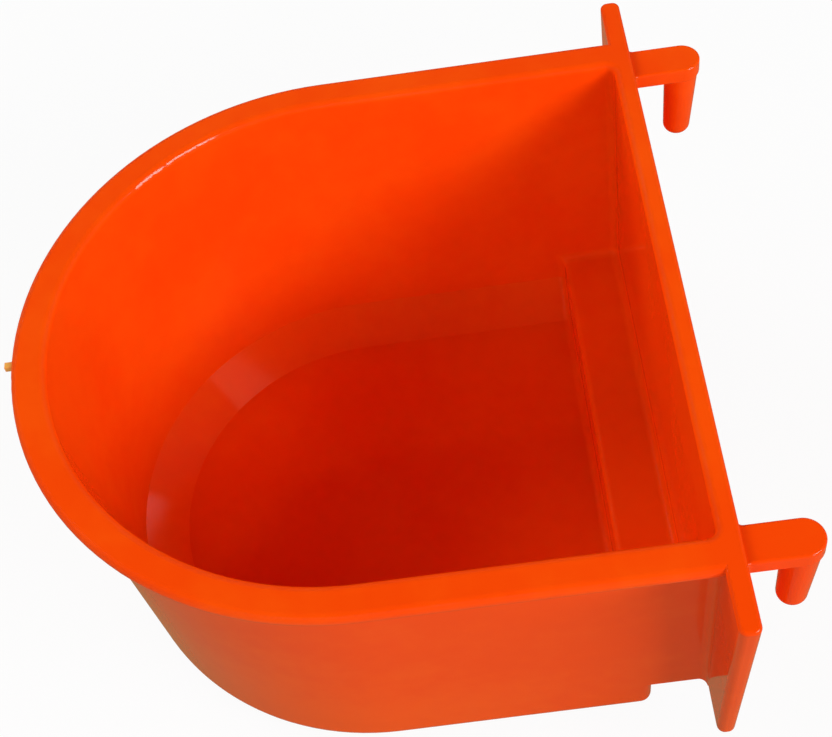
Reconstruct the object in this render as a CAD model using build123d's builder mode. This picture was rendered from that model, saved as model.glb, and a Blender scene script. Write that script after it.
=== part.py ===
from build123d import *
import os

os.makedirs("parts", exist_ok=True)

# Back plate: a flat panel whose ends stick out past the rim as ears
ear_reach = 7.2
plate_height = 36.0
plate_thickness = 2.4
plate_foot_thickness = 2.1
ear_lean = 4.7
plate_corner_radius = 0.9
plate_edge_radius = 0.45
ear_foot_radius = 1.2

# Bowl: D-shaped, drafted, open at the top
bowl_depth = 43.4
bowl_reach = 72.4
bowl_width = 71.0
bowl_draft = 2.9
wall_thickness = 1.75
floor_thickness = 1.6
bottom_radius = 2.8
floor_chamfer = 3.8
floor_chamfer_width = 4.7
corner_fillet = 1.2

# Raised ledge along the back of the bowl
ledge_length = 7.6
ledge_thickness = 1.8
riser_thickness = 1.6
ledge_fillet = 1.2
ledge_edge_radius = 0.8
heel_radius = 1.2

# Rim: a flat flange around the mouth with rounded edges
rim_overhang = 2.3
rim_thickness = 1.9
rim_edge_radius = 0.85
mouth_radius = 0.9
gate_width = 0.8
gate_length = 0.8
gate_height = 0.7

# Hooks behind the plate: a flat arm and a tapered peg that points down
hook_inset = 1.0
arm_drop = 1.2
arm_width = 4.6
arm_thickness = 2.2
arm_reach = 8.6
arm_edge_radius = 0.3
arm_root_radius = 0.6
peg_top_radius = 2.1
peg_tip_radius = 1.68
peg_length = 10.4
peg_tip_round = 1.1

# Round root between the bowl sides and the ears, and the short stubs that the plate keeps
ear_blend = 1.0
root_step = 0.25

# How far past a round edge the regions are divided, and the slack in finding an edge by its place
seam_margin = 0.45
place_slack = 0.01

# Sizes that follow from the ones above
half_bowl = bowl_width / 2
half_bottom = half_bowl - bowl_draft
arc_y = half_bowl - bowl_reach
half_mouth = half_bowl - wall_thickness
half_floor = half_bottom - wall_thickness
half_rim = half_bowl + rim_overhang
half_plate = half_rim + ear_reach
half_plate_foot = half_plate - ear_lean
plate_length = 2 * half_plate
floor_z = floor_thickness - bowl_depth
heel_z = -plate_height
ledge_z = heel_z + ledge_thickness
half_ledge = half_mouth - (half_mouth - half_floor) * ledge_z / floor_z
rim_z = -rim_thickness
inside_plate = plate_thickness / 2
plate_foot_y = plate_thickness - plate_foot_thickness
plate_low_y = plate_foot_y * bowl_depth / plate_height
riser_y = -ledge_length
heel_y = riser_y + riser_thickness
arm_x = half_bowl - hook_inset
arm_top_z = -arm_drop
arm_foot_z = arm_top_z - arm_thickness
arm_free_y = plate_thickness + arm_root_radius
half_root = arm_width / 2 + arm_root_radius
peg_y = plate_thickness + arm_reach - arm_width / 2
peg_tip_y = peg_y - (peg_top_radius - peg_tip_radius)
peg_tip_z = arm_foot_z - peg_length
floor_top_z = floor_z + floor_chamfer + seam_margin
ledge_front_y = riser_y - ledge_edge_radius - seam_margin
ledge_top_z = ledge_z + ledge_fillet + seam_margin


def cup_face(level, half_width, back):
    # D outline at one height: straight sides, round front, closed across the back
    outline = Curve() + [
        Line((half_width, back), (half_width, arc_y)),
        ThreePointArc((half_width, arc_y), (0, arc_y - half_width), (-half_width, arc_y)),
        Line((-half_width, arc_y), (-half_width, back)),
        Line((-half_width, back), (half_width, back)),
    ]
    return Pos(0, 0, level) * make_face(outline)


def bowl_face(level, half_width, plate_y):
    # D outline of the outside, whose sides flare into the plate's front with a round root
    flare = half_width + ear_blend
    bend = ear_blend * (1 - 0.5**0.5)
    root_y = plate_y - ear_blend
    outline = Curve() + [
        Line((flare, inside_plate), (flare, plate_y)),
        ThreePointArc((flare, plate_y), (half_width + bend, plate_y - bend), (half_width, root_y)),
        Line((half_width, root_y), (half_width, arc_y)),
        ThreePointArc((half_width, arc_y), (0, arc_y - half_width), (-half_width, arc_y)),
        Line((-half_width, arc_y), (-half_width, root_y)),
        ThreePointArc((-half_width, root_y), (-half_width - bend, plate_y - bend), (-flare, plate_y)),
        Line((-flare, plate_y), (-flare, inside_plate)),
        Line((-flare, inside_plate), (flare, inside_plate)),
    ]
    return Pos(0, 0, level) * make_face(outline)


bowl_top = bowl_face(0, half_bowl, 0)
bowl_bottom = bowl_face(-bowl_depth, half_bottom, plate_low_y)
mouth_face = cup_face(0, half_mouth, 0)
floor_face = cup_face(floor_z, half_floor, 0)
rim_face = cup_face(rim_z, half_rim, inside_plate)

# Outside of the bowl, with the step under the ledge
with BuildPart() as bowl:
    loft([bowl_top, bowl_bottom], ruled=True)
    with BuildSketch(Plane.XY.offset(heel_z)):
        with Locations((0, heel_y)):
            Rectangle(plate_length, plate_length, align=(Align.CENTER, Align.MIN))
    extrude(amount=-bowl_depth, mode=Mode.SUBTRACT)
    heel_edges = bowl.edges().filter_by_position(Axis.Y, heel_y - place_slack, heel_y + place_slack)
    fillet(heel_edges.filter_by(Axis.X, reverse=True), heel_radius)
    fillet(bowl.edges().group_by(Axis.Z)[0], bottom_radius)

# Inside of the bowl, in front of the ledge and above it
with BuildPart() as pocket:
    loft([mouth_face, floor_face], ruled=True)
    floor_edges = pocket.edges().group_by(Axis.Z)[0].sort_by(Axis.Y)[:-1]
    chamfer(floor_edges, floor_chamfer_width, floor_chamfer, reference=pocket.faces().sort_by(Axis.Z)[0])
    with BuildSketch(Plane.XY.offset(1)):
        with Locations((0, riser_y)):
            Rectangle(plate_length, plate_length, align=(Align.CENTER, Align.MIN))
    extrude(amount=-bowl_depth - 2, mode=Mode.SUBTRACT)
    riser_face = pocket.faces().sort_by(Axis.Y)[-1]
    fillet(riser_face.edges().sort_by(Axis.Z)[:-1], corner_fillet)

with BuildPart() as upper_pocket:
    with BuildSketch():
        with Locations((0, arc_y / 2)):
            Rectangle(2 * half_mouth, -arc_y / 2, align=(Align.CENTER, Align.MIN))
    with BuildSketch(Plane.XY.offset(ledge_z)):
        with Locations((0, arc_y / 2)):
            Rectangle(2 * half_ledge, -arc_y / 2, align=(Align.CENTER, Align.MIN))
    loft(ruled=True)
    back_edges = upper_pocket.edges().filter_by_position(Axis.Y, -place_slack, place_slack)
    fillet(back_edges.filter_by(Axis.X, reverse=True), corner_fillet)
    fillet(upper_pocket.edges().group_by(Axis.Z)[0], ledge_fillet)

# Flange around the mouth, with the moulding gate's small nib at the front
with BuildPart() as flange:
    add(rim_face)
    extrude(amount=rim_thickness)
    outer_edges = flange.edges().group_by(Axis.Z)[0] + flange.edges().group_by(Axis.Z)[-1]
    fillet(outer_edges.sort_by(Axis.Y)[:-2], rim_edge_radius)
    with BuildSketch(Plane.XY.offset(rim_z / 2 - gate_height / 2)):
        with Locations((0, arc_y - half_rim - gate_length)):
            Rectangle(gate_width, gate_length + rim_edge_radius, align=(Align.CENTER, Align.MIN))
    extrude(amount=gate_height)

# Back plate with its two ears: thinner at the foot, and shorter there
with BuildPart() as panel:
    with BuildSketch(Plane.YZ):
        with BuildLine():
            Polyline(
                (0, 0),
                (plate_thickness, 0),
                (plate_thickness, -plate_height),
                (plate_foot_y, -plate_height),
                close=True,
            )
        make_face()
    extrude(amount=half_plate, both=True)
    with BuildSketch(Plane.XZ):
        with BuildLine():
            Polyline(
                (-half_plate, 0),
                (half_plate, 0),
                (half_plate_foot, -plate_height),
                (-half_plate_foot, -plate_height),
                close=True,
            )
        make_face()
    extrude(amount=2 * plate_thickness, both=True, mode=Mode.INTERSECT)
    fillet(panel.edges().group_by(Axis.Z)[0].filter_by(Axis.Y), ear_foot_radius)
    end_edges = panel.edges().filter_by(Axis.Y, reverse=True).sort_by(Axis.X)
    fillet(end_edges[-2:], plate_corner_radius)
    fillet(panel.faces().sort_by(Axis.Z)[-1].edges(), plate_edge_radius)

# Hook arms and pegs
with BuildPart() as arms:
    with BuildSketch(Plane.XY.offset(arm_foot_z)):
        with Locations((-arm_x, peg_y), (arm_x, peg_y)):
            Circle(arm_width / 2)
        with Locations((-arm_x, inside_plate), (arm_x, inside_plate)):
            Rectangle(arm_width, peg_y - inside_plate, align=(Align.CENTER, Align.MIN))
            Rectangle(2 * half_root, arm_free_y - inside_plate, align=(Align.CENTER, Align.MIN))
        with Locations((-arm_x, arm_free_y), (arm_x, arm_free_y)):
            with Locations((-half_root, 0), (half_root, 0)):
                Circle(arm_root_radius, mode=Mode.SUBTRACT)
    extrude(amount=arm_thickness)
    arm_edges = arms.faces().filter_by(Axis.Z).edges()
    fillet(arm_edges.filter_by_position(Axis.Y, arm_free_y, plate_length), arm_edge_radius)

with BuildPart() as pegs:
    with BuildSketch(Plane.XY.offset(arm_foot_z)):
        with Locations((-arm_x, peg_y), (arm_x, peg_y)):
            Circle(peg_top_radius)
    extrude(amount=arm_thickness / 2)
    with BuildSketch(Plane.XY.offset(arm_foot_z)):
        with Locations((arm_x, peg_y)):
            Circle(peg_top_radius)
    with BuildSketch(Plane.XY.offset(peg_tip_z)):
        with Locations((arm_x, peg_tip_y)):
            Circle(peg_tip_radius)
    loft(ruled=True)
    with BuildSketch(Plane.XY.offset(arm_foot_z)):
        with Locations((-arm_x, peg_y)):
            Circle(peg_top_radius)
    with BuildSketch(Plane.XY.offset(peg_tip_z)):
        with Locations((-arm_x, peg_tip_y)):
            Circle(peg_tip_radius)
    loft(ruled=True)
    fillet(pegs.faces().group_by(Axis.Z)[0].edges(), peg_tip_round)

# The whole moulding
with BuildPart() as moulding:
    add(bowl.part)
    add(flange.part)
    add(panel.part)
    add(arms.part)
    add(pegs.part)
    add(pocket.part, mode=Mode.SUBTRACT)
    add(upper_pocket.part, mode=Mode.SUBTRACT)
    top_face = moulding.faces().filter_by(Axis.Z).sort_by(Axis.Z)[-1]
    fillet(top_face.inner_wires()[0].edges(), mouth_radius)
    ledge_edge = moulding.edges().filter_by(Axis.X)
    ledge_edge = ledge_edge.filter_by_position(Axis.Z, ledge_z - place_slack, ledge_z + place_slack)
    ledge_edge = ledge_edge.filter_by_position(Axis.Y, riser_y - place_slack, riser_y + place_slack)
    fillet(ledge_edge, ledge_edge_radius)

# Final frame: middle of the footprint, on the surface that the cup stands on
front_y = arc_y - half_rim - gate_length
back_y = plate_thickness + arm_reach
frame = Plane((0, -(front_y + back_y) / 2, bowl_depth))
placed = moulding.part.moved(frame.location)
peg_front_y = peg_tip_y - peg_top_radius

# The moulding is divided where one region ends and the next begins
with BuildPart() as rim:
    add(placed)
    with BuildSketch(frame.offset(rim_z)):
        with Locations((0, -root_step)):
            Rectangle(2 * plate_length, 2 * plate_length, align=(Align.CENTER, Align.MAX))
    extrude(amount=2 * rim_thickness, mode=Mode.INTERSECT)
rim.part.label = "rim"
export_step(rim.part, "parts/rim.step")

with BuildPart() as front_wall:
    add(placed)
    with BuildSketch(frame.offset(floor_top_z)):
        with Locations((0, arc_y)):
            Rectangle(2 * plate_length, 2 * plate_length, align=(Align.CENTER, Align.MAX))
    extrude(amount=rim_z - floor_top_z, mode=Mode.INTERSECT)
front_wall.part.label = "front_wall"
export_step(front_wall.part, "parts/front_wall.step")

with BuildPart() as right_wall:
    add(placed)
    with BuildSketch(frame.offset(floor_top_z)):
        with Locations((0, arc_y)):
            Rectangle(plate_length, -arc_y - root_step, align=(Align.MIN, Align.MIN))
    extrude(amount=rim_z - floor_top_z, mode=Mode.INTERSECT)
    with BuildSketch(frame.offset(floor_top_z)):
        with Locations((0, ledge_front_y)):
            Rectangle(plate_length, plate_length, align=(Align.MIN, Align.MIN))
    extrude(amount=ledge_top_z - floor_top_z, mode=Mode.SUBTRACT)
right_wall.part.label = "right_wall"
export_step(right_wall.part, "parts/right_wall.step")

with BuildPart() as left_wall:
    add(placed)
    with BuildSketch(frame.offset(floor_top_z)):
        with Locations((0, arc_y)):
            Rectangle(plate_length, -arc_y - root_step, align=(Align.MAX, Align.MIN))
    extrude(amount=rim_z - floor_top_z, mode=Mode.INTERSECT)
    with BuildSketch(frame.offset(floor_top_z)):
        with Locations((0, ledge_front_y)):
            Rectangle(plate_length, plate_length, align=(Align.MAX, Align.MIN))
    extrude(amount=ledge_top_z - floor_top_z, mode=Mode.SUBTRACT)
left_wall.part.label = "left_wall"
export_step(left_wall.part, "parts/left_wall.step")

with BuildPart() as cup_floor:
    add(placed)
    with BuildSketch(frame.offset(floor_top_z)):
        with Locations((0, ledge_front_y)):
            Rectangle(2 * plate_length, 2 * plate_length, align=(Align.CENTER, Align.MAX))
    extrude(amount=-bowl_depth, mode=Mode.INTERSECT)
cup_floor.part.label = "cup_floor"
export_step(cup_floor.part, "parts/cup_floor.step")

with BuildPart() as rear_ledge:
    add(placed)
    with BuildSketch(frame.offset(ledge_top_z)):
        with Locations((0, ledge_front_y)):
            Rectangle(2 * plate_length, -ledge_front_y - root_step, align=(Align.CENTER, Align.MIN))
    extrude(amount=-bowl_depth, mode=Mode.INTERSECT)
rear_ledge.part.label = "rear_ledge"
export_step(rear_ledge.part, "parts/rear_ledge.step")

with BuildPart() as back_plate:
    add(placed)
    with BuildSketch(frame.offset(-bowl_depth)):
        with Locations((0, -root_step)):
            Rectangle(2 * half_rim, plate_thickness + 2 * root_step, align=(Align.CENTER, Align.MIN))
    extrude(amount=2 * bowl_depth, mode=Mode.INTERSECT)
back_plate.part.label = "back_plate"
export_step(back_plate.part, "parts/back_plate.step")

with BuildPart() as right_ear:
    add(placed)
    with BuildSketch(frame.offset(-bowl_depth)):
        with Locations((half_rim, -root_step)):
            Rectangle(plate_length, plate_thickness + 2 * root_step, align=(Align.MIN, Align.MIN))
    extrude(amount=2 * bowl_depth, mode=Mode.INTERSECT)
right_ear.part.label = "right_ear"
export_step(right_ear.part, "parts/right_ear.step")

with BuildPart() as left_ear:
    add(placed)
    with BuildSketch(frame.offset(-bowl_depth)):
        with Locations((-half_rim, -root_step)):
            Rectangle(plate_length, plate_thickness + 2 * root_step, align=(Align.MAX, Align.MIN))
    extrude(amount=2 * bowl_depth, mode=Mode.INTERSECT)
left_ear.part.label = "left_ear"
export_step(left_ear.part, "parts/left_ear.step")

with BuildPart() as right_hook_arm:
    add(placed)
    with BuildSketch(frame.offset(-bowl_depth)):
        with Locations((0, plate_thickness + root_step)):
            Rectangle(plate_length, plate_length, align=(Align.MIN, Align.MIN))
    extrude(amount=2 * bowl_depth, mode=Mode.INTERSECT)
    with BuildSketch(frame.offset(arm_foot_z)):
        with Locations((0, peg_front_y)):
            Rectangle(plate_length, plate_length, align=(Align.MIN, Align.MIN))
    extrude(amount=-bowl_depth, mode=Mode.SUBTRACT)
right_hook_arm.part.label = "right_hook_arm"
export_step(right_hook_arm.part, "parts/right_hook_arm.step")

with BuildPart() as left_hook_arm:
    add(placed)
    with BuildSketch(frame.offset(-bowl_depth)):
        with Locations((0, plate_thickness + root_step)):
            Rectangle(plate_length, plate_length, align=(Align.MAX, Align.MIN))
    extrude(amount=2 * bowl_depth, mode=Mode.INTERSECT)
    with BuildSketch(frame.offset(arm_foot_z)):
        with Locations((0, peg_front_y)):
            Rectangle(plate_length, plate_length, align=(Align.MAX, Align.MIN))
    extrude(amount=-bowl_depth, mode=Mode.SUBTRACT)
left_hook_arm.part.label = "left_hook_arm"
export_step(left_hook_arm.part, "parts/left_hook_arm.step")

with BuildPart() as right_hook_peg:
    add(placed)
    with BuildSketch(frame.offset(arm_foot_z)):
        with Locations((0, peg_front_y)):
            Rectangle(plate_length, plate_length, align=(Align.MIN, Align.MIN))
    extrude(amount=-bowl_depth, mode=Mode.INTERSECT)
right_hook_peg.part.label = "right_hook_peg"
export_step(right_hook_peg.part, "parts/right_hook_peg.step")

with BuildPart() as left_hook_peg:
    add(placed)
    with BuildSketch(frame.offset(arm_foot_z)):
        with Locations((0, peg_front_y)):
            Rectangle(plate_length, plate_length, align=(Align.MAX, Align.MIN))
    extrude(amount=-bowl_depth, mode=Mode.INTERSECT)
left_hook_peg.part.label = "left_hook_peg"
export_step(left_hook_peg.part, "parts/left_hook_peg.step")
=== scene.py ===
import math

import bpy
from mathutils import Matrix, Vector

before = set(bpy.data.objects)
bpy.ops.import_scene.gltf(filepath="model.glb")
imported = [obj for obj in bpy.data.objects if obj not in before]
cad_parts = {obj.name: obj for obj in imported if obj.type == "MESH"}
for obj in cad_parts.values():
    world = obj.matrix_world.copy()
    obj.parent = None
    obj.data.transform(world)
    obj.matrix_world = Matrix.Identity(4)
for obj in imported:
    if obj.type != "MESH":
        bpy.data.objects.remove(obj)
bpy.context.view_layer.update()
scene = bpy.context.scene
scene.view_settings.view_transform = "Standard"

MM = 0.001
WHITE = (1, 1, 1, 1)

# Camera at the photograph's angle, for a picture of 832 by 737
PICTURE_WIDTH = 832
PICTURE_HEIGHT = 737
FOCAL_PIXELS = 1644.08
CENTRE_X = 413.92
CENTRE_Y = 356.21
SENSOR_MM = 36.0
CAMERA_PLACE = Vector((0.11342, 0.01043, 0.19135))
CAMERA_RIGHT = Vector((0.0853, 0.9906, -0.1067))
CAMERA_UP = Vector((-0.8069, 0.1316, 0.5759))
CAMERA_BACK = Vector((0.5845, 0.0370, 0.8106))
NEAREST = 0.01
FARTHEST = 20.0

# Lamps: a window behind the plate, fills that don't show in the gloss, and a dim panel that
# only shows there, as the soft patch on the edge of the cup's floor
LAMP_AIM = Vector((0, 0, 0.02))
WINDOW_COLOUR = (1.0, 0.98, 0.95)
FILL_COLOUR = (1.0, 0.99, 0.98)
PANEL_COLOUR = (1.0, 0.9, 0.6)

# Room: pale walls all round up to one elevation, and a dim ceiling from another
ROOM_COLOUR = (1.0, 0.99, 0.98, 1)
ROOM_WALL = 0.61
ROOM_CEILING = 0.04
WALL_TOP = math.sin(math.radians(32))
CEILING_EDGE = math.sin(math.radians(56))
# The plastic mirrors the room more dimly than the room lights it
ROOM_MIRRORED = 0.1

# Floor: white to the camera, dim and warm in reflections
FLOOR_SIZE = 6
FLOOR_PAINT = (0.4, 0.4, 0.4, 1)
FLOOR_ROUGHNESS = 0.9
FLOOR_GLOW = 1.06
FLOOR_SEEN = 0.88
FLOOR_MIRRORED = 0.7
TABLE_TONE = (0.30, 0.17, 0.03, 1)

# Glossy orange plastic
DEEP_ORANGE = (0.93, 0.062, 0.0012, 1)
BRIGHT_ORANGE = (0.96, 0.084, 0.0020, 1)
PALE_GATE = (0.86, 0.42, 0.08, 1)
GATE_PLACE = (0.0, -42.9 * MM, 42.4 * MM)
GATE_REACH = (0.4 * MM, 1.0 * MM)
TORN_ROUGHNESS = 0.4
PLASTIC_IOR = 1.49
PLASTIC_SPECULAR = 0.35
CLOUD_SHARE = 0.8
MOTTLE_SHARE = 0.2
STREAK_SCALE = (1.0, 0.18, 1.0)
STREAK_TURN = (0.3, 0.2, 0.5)
HAZE_ROUGHNESS = (0.08, 0.12)
RUB_ROUGHNESS = (0.0, 0.06)
PEEL_SHARE = 0.05
RISE = 0.06 * MM

camera = bpy.data.objects.new("camera", bpy.data.cameras.new("camera"))
scene.collection.objects.link(camera)
scene.camera = camera
camera.data.sensor_fit = "HORIZONTAL"
camera.data.sensor_width = SENSOR_MM
camera.data.lens = FOCAL_PIXELS / PICTURE_WIDTH * SENSOR_MM
camera.data.shift_x = (PICTURE_WIDTH / 2 - CENTRE_X) / PICTURE_WIDTH
camera.data.shift_y = (CENTRE_Y - PICTURE_HEIGHT / 2) / PICTURE_WIDTH
camera.data.clip_start = NEAREST
camera.data.clip_end = FARTHEST
turn = Matrix((CAMERA_RIGHT, CAMERA_UP, CAMERA_BACK)).transposed()
camera.matrix_world = Matrix.Translation(CAMERA_PLACE) @ turn.to_4x4()


def soft_light(name, azimuth, elevation, distance, size, power, colour):
    # Azimuth 0 is in front of the round side and 90 on the +X side
    a = math.radians(azimuth)
    e = math.radians(elevation)
    away = Vector((math.sin(a) * math.cos(e), -math.cos(a) * math.cos(e), math.sin(e)))
    light = bpy.data.lights.new(name, "AREA")
    light.shape = "RECTANGLE"
    light.size = size[0]
    light.size_y = size[1]
    light.energy = power
    light.color = colour
    lamp = bpy.data.objects.new(name, light)
    scene.collection.objects.link(lamp)
    lamp.location = LAMP_AIM + away * distance
    lamp.rotation_mode = "QUATERNION"
    lamp.rotation_quaternion = away.to_track_quat("Z", "Y")
    return lamp


soft_light("window_light", 139, 30, 0.9, (0.55, 0.28), 5.6, WINDOW_COLOUR)
fills = [
    soft_light("front_fill", -50, 32, 1.0, (0.6, 0.4), 3.8, FILL_COLOUR),
    soft_light("high_fill", -10, 48, 1.0, (0.6, 0.4), 1.2, FILL_COLOUR),
    soft_light("side_fill", 72, 34, 1.0, (0.6, 0.2), 1.9, FILL_COLOUR),
]
for lamp in fills:
    lamp.visible_glossy = False
panel = soft_light("patch_panel", 147, 44, 0.9, (0.34, 0.17), 0.11, PANEL_COLOUR)
panel.visible_diffuse = False


def node(tree, kind, **values):
    made = tree.nodes.new(kind)
    for key, value in values.items():
        setattr(made, key, value)
    return made


def feed(tree, socket, value):
    # A socket takes a plain value, or a link from another node
    if isinstance(value, bpy.types.NodeSocket):
        tree.links.new(value, socket)
    else:
        socket.default_value = value


def math_of(tree, operation, *values):
    made = node(tree, "ShaderNodeMath", operation=operation)
    for socket, value in zip(made.inputs, values):
        feed(tree, socket, value)
    return made.outputs[0]


def ramp(tree, value, low, high, to_low, to_high):
    made = node(tree, "ShaderNodeMapRange", interpolation_type="SMOOTHSTEP")
    feed(tree, made.inputs["Value"], value)
    made.inputs["From Min"].default_value = low
    made.inputs["From Max"].default_value = high
    made.inputs["To Min"].default_value = to_low
    made.inputs["To Max"].default_value = to_high
    return made.outputs["Result"]


def mix_colour(tree, share, first, second):
    made = node(tree, "ShaderNodeMix", data_type="RGBA")
    feed(tree, made.inputs["Factor"], share)
    feed(tree, made.inputs[6], first)
    feed(tree, made.inputs[7], second)
    return made.outputs[2]


def noise(tree, place, scale, detail, rough):
    made = node(tree, "ShaderNodeTexNoise")
    feed(tree, made.inputs["Vector"], place)
    made.inputs["Scale"].default_value = scale
    made.inputs["Detail"].default_value = detail
    made.inputs["Roughness"].default_value = rough
    return made.outputs["Fac"]


def room_world():
    world = bpy.data.worlds.new("room")
    world.use_nodes = True
    tree = world.node_tree
    background = tree.nodes["Background"]
    background.inputs["Color"].default_value = ROOM_COLOUR
    direction = node(tree, "ShaderNodeSeparateXYZ")
    feed(tree, direction.inputs[0], node(tree, "ShaderNodeTexCoord").outputs["Generated"])
    strength = ramp(tree, direction.outputs["Z"], WALL_TOP, CEILING_EDGE, ROOM_WALL, ROOM_CEILING)
    path = node(tree, "ShaderNodeLightPath")
    dimming = math_of(tree, "MULTIPLY_ADD", path.outputs["Is Glossy Ray"], ROOM_MIRRORED - 1.0, 1.0)
    strength = math_of(tree, "MULTIPLY", strength, dimming)
    # Beyond the floor, the camera sees white
    strength = math_of(tree, "MAXIMUM", strength, path.outputs["Is Camera Ray"])
    feed(tree, background.inputs["Strength"], strength)
    return world


def white_floor():
    white = bpy.data.materials.new("white_floor")
    white.use_nodes = True
    tree = white.node_tree
    paint = tree.nodes["Principled BSDF"]
    paint.inputs["Base Color"].default_value = FLOOR_PAINT
    paint.inputs["Roughness"].default_value = FLOOR_ROUGHNESS
    paint.inputs["Specular IOR Level"].default_value = 0.0
    path = node(tree, "ShaderNodeLightPath")
    seen = path.outputs["Is Camera Ray"]
    mirrored = math_of(tree, "MAXIMUM", path.outputs["Is Glossy Ray"], path.outputs["Is Transmission Ray"])
    mirrored = math_of(tree, "MULTIPLY", mirrored, FLOOR_MIRRORED)
    share = math_of(tree, "MULTIPLY_ADD", seen, FLOOR_SEEN, mirrored)
    glow = node(tree, "ShaderNodeEmission")
    glow.inputs["Strength"].default_value = FLOOR_GLOW
    feed(tree, glow.inputs["Color"], mix_colour(tree, seen, TABLE_TONE, WHITE))
    mix = node(tree, "ShaderNodeMixShader")
    feed(tree, mix.inputs[0], share)
    feed(tree, mix.inputs[1], paint.outputs[0])
    feed(tree, mix.inputs[2], glow.outputs[0])
    feed(tree, tree.nodes["Material Output"].inputs["Surface"], mix.outputs[0])
    return white


def orange_plastic():
    orange = bpy.data.materials.new("orange_plastic")
    orange.use_nodes = True
    tree = orange.node_tree
    skin = tree.nodes["Principled BSDF"]
    skin.inputs["IOR"].default_value = PLASTIC_IOR
    skin.inputs["Specular IOR Level"].default_value = PLASTIC_SPECULAR
    # One set of coordinates for all nodes, so the patterns run across the seams
    place = node(tree, "ShaderNodeTexCoord").outputs["Object"]

    # Pigment flow: broad cloudy change of tone, and a finer mottle
    cloud = noise(tree, place, 42.0, 3.0, 0.55)
    mottle = noise(tree, place, 420.0, 2.0, 0.5)
    tone = math_of(tree, "MULTIPLY", cloud, CLOUD_SHARE)
    tone = math_of(tree, "MULTIPLY_ADD", mottle, MOTTLE_SHARE, tone)
    tone = ramp(tree, tone, 0.35, 0.65, 0.0, 1.0)
    colour = mix_colour(tree, tone, DEEP_ORANGE, BRIGHT_ORANGE)

    # The torn gate at the front of the rim is pale and dull
    from_gate = node(tree, "ShaderNodeVectorMath", operation="DISTANCE")
    feed(tree, from_gate.inputs[0], place)
    feed(tree, from_gate.inputs[1], GATE_PLACE)
    torn = ramp(tree, from_gate.outputs["Value"], *GATE_REACH, 1.0, 0.0)
    feed(tree, skin.inputs["Base Color"], mix_colour(tree, torn, colour, PALE_GATE))

    # Gloss: slightly uneven, with fine rubbed streaks
    streaks = node(tree, "ShaderNodeMapping")
    streaks.inputs["Scale"].default_value = STREAK_SCALE
    streaks.inputs["Rotation"].default_value = STREAK_TURN
    feed(tree, streaks.inputs["Vector"], place)
    rub = noise(tree, streaks.outputs["Vector"], 1500.0, 4.0, 0.6)
    haze = noise(tree, place, 90.0, 4.0, 0.6)
    gloss = ramp(tree, haze, 0.35, 0.70, *HAZE_ROUGHNESS)
    gloss = math_of(tree, "ADD", gloss, ramp(tree, rub, 0.60, 0.80, *RUB_ROUGHNESS))
    gloss = math_of(tree, "MULTIPLY_ADD", torn, TORN_ROUGHNESS, gloss)
    feed(tree, skin.inputs["Roughness"], gloss)

    # Surface: mould waviness and a faint orange peel
    wave = noise(tree, place, 70.0, 1.0, 0.4)
    peel = noise(tree, place, 1400.0, 2.0, 0.5)
    bump = node(tree, "ShaderNodeBump")
    bump.inputs["Strength"].default_value = 1.0
    bump.inputs["Distance"].default_value = RISE
    feed(tree, bump.inputs["Height"], math_of(tree, "MULTIPLY_ADD", peel, PEEL_SHARE, wave))
    feed(tree, skin.inputs["Normal"], bump.outputs["Normal"])
    return orange


scene.world = room_world()

bpy.ops.mesh.primitive_plane_add(size=FLOOR_SIZE, location=(0, 0, 0))
floor = bpy.context.object
floor.name = "floor"
floor.data.materials.append(white_floor())

plastic = orange_plastic()
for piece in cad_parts.values():
    piece.data.materials.clear()
    piece.data.materials.append(plastic)
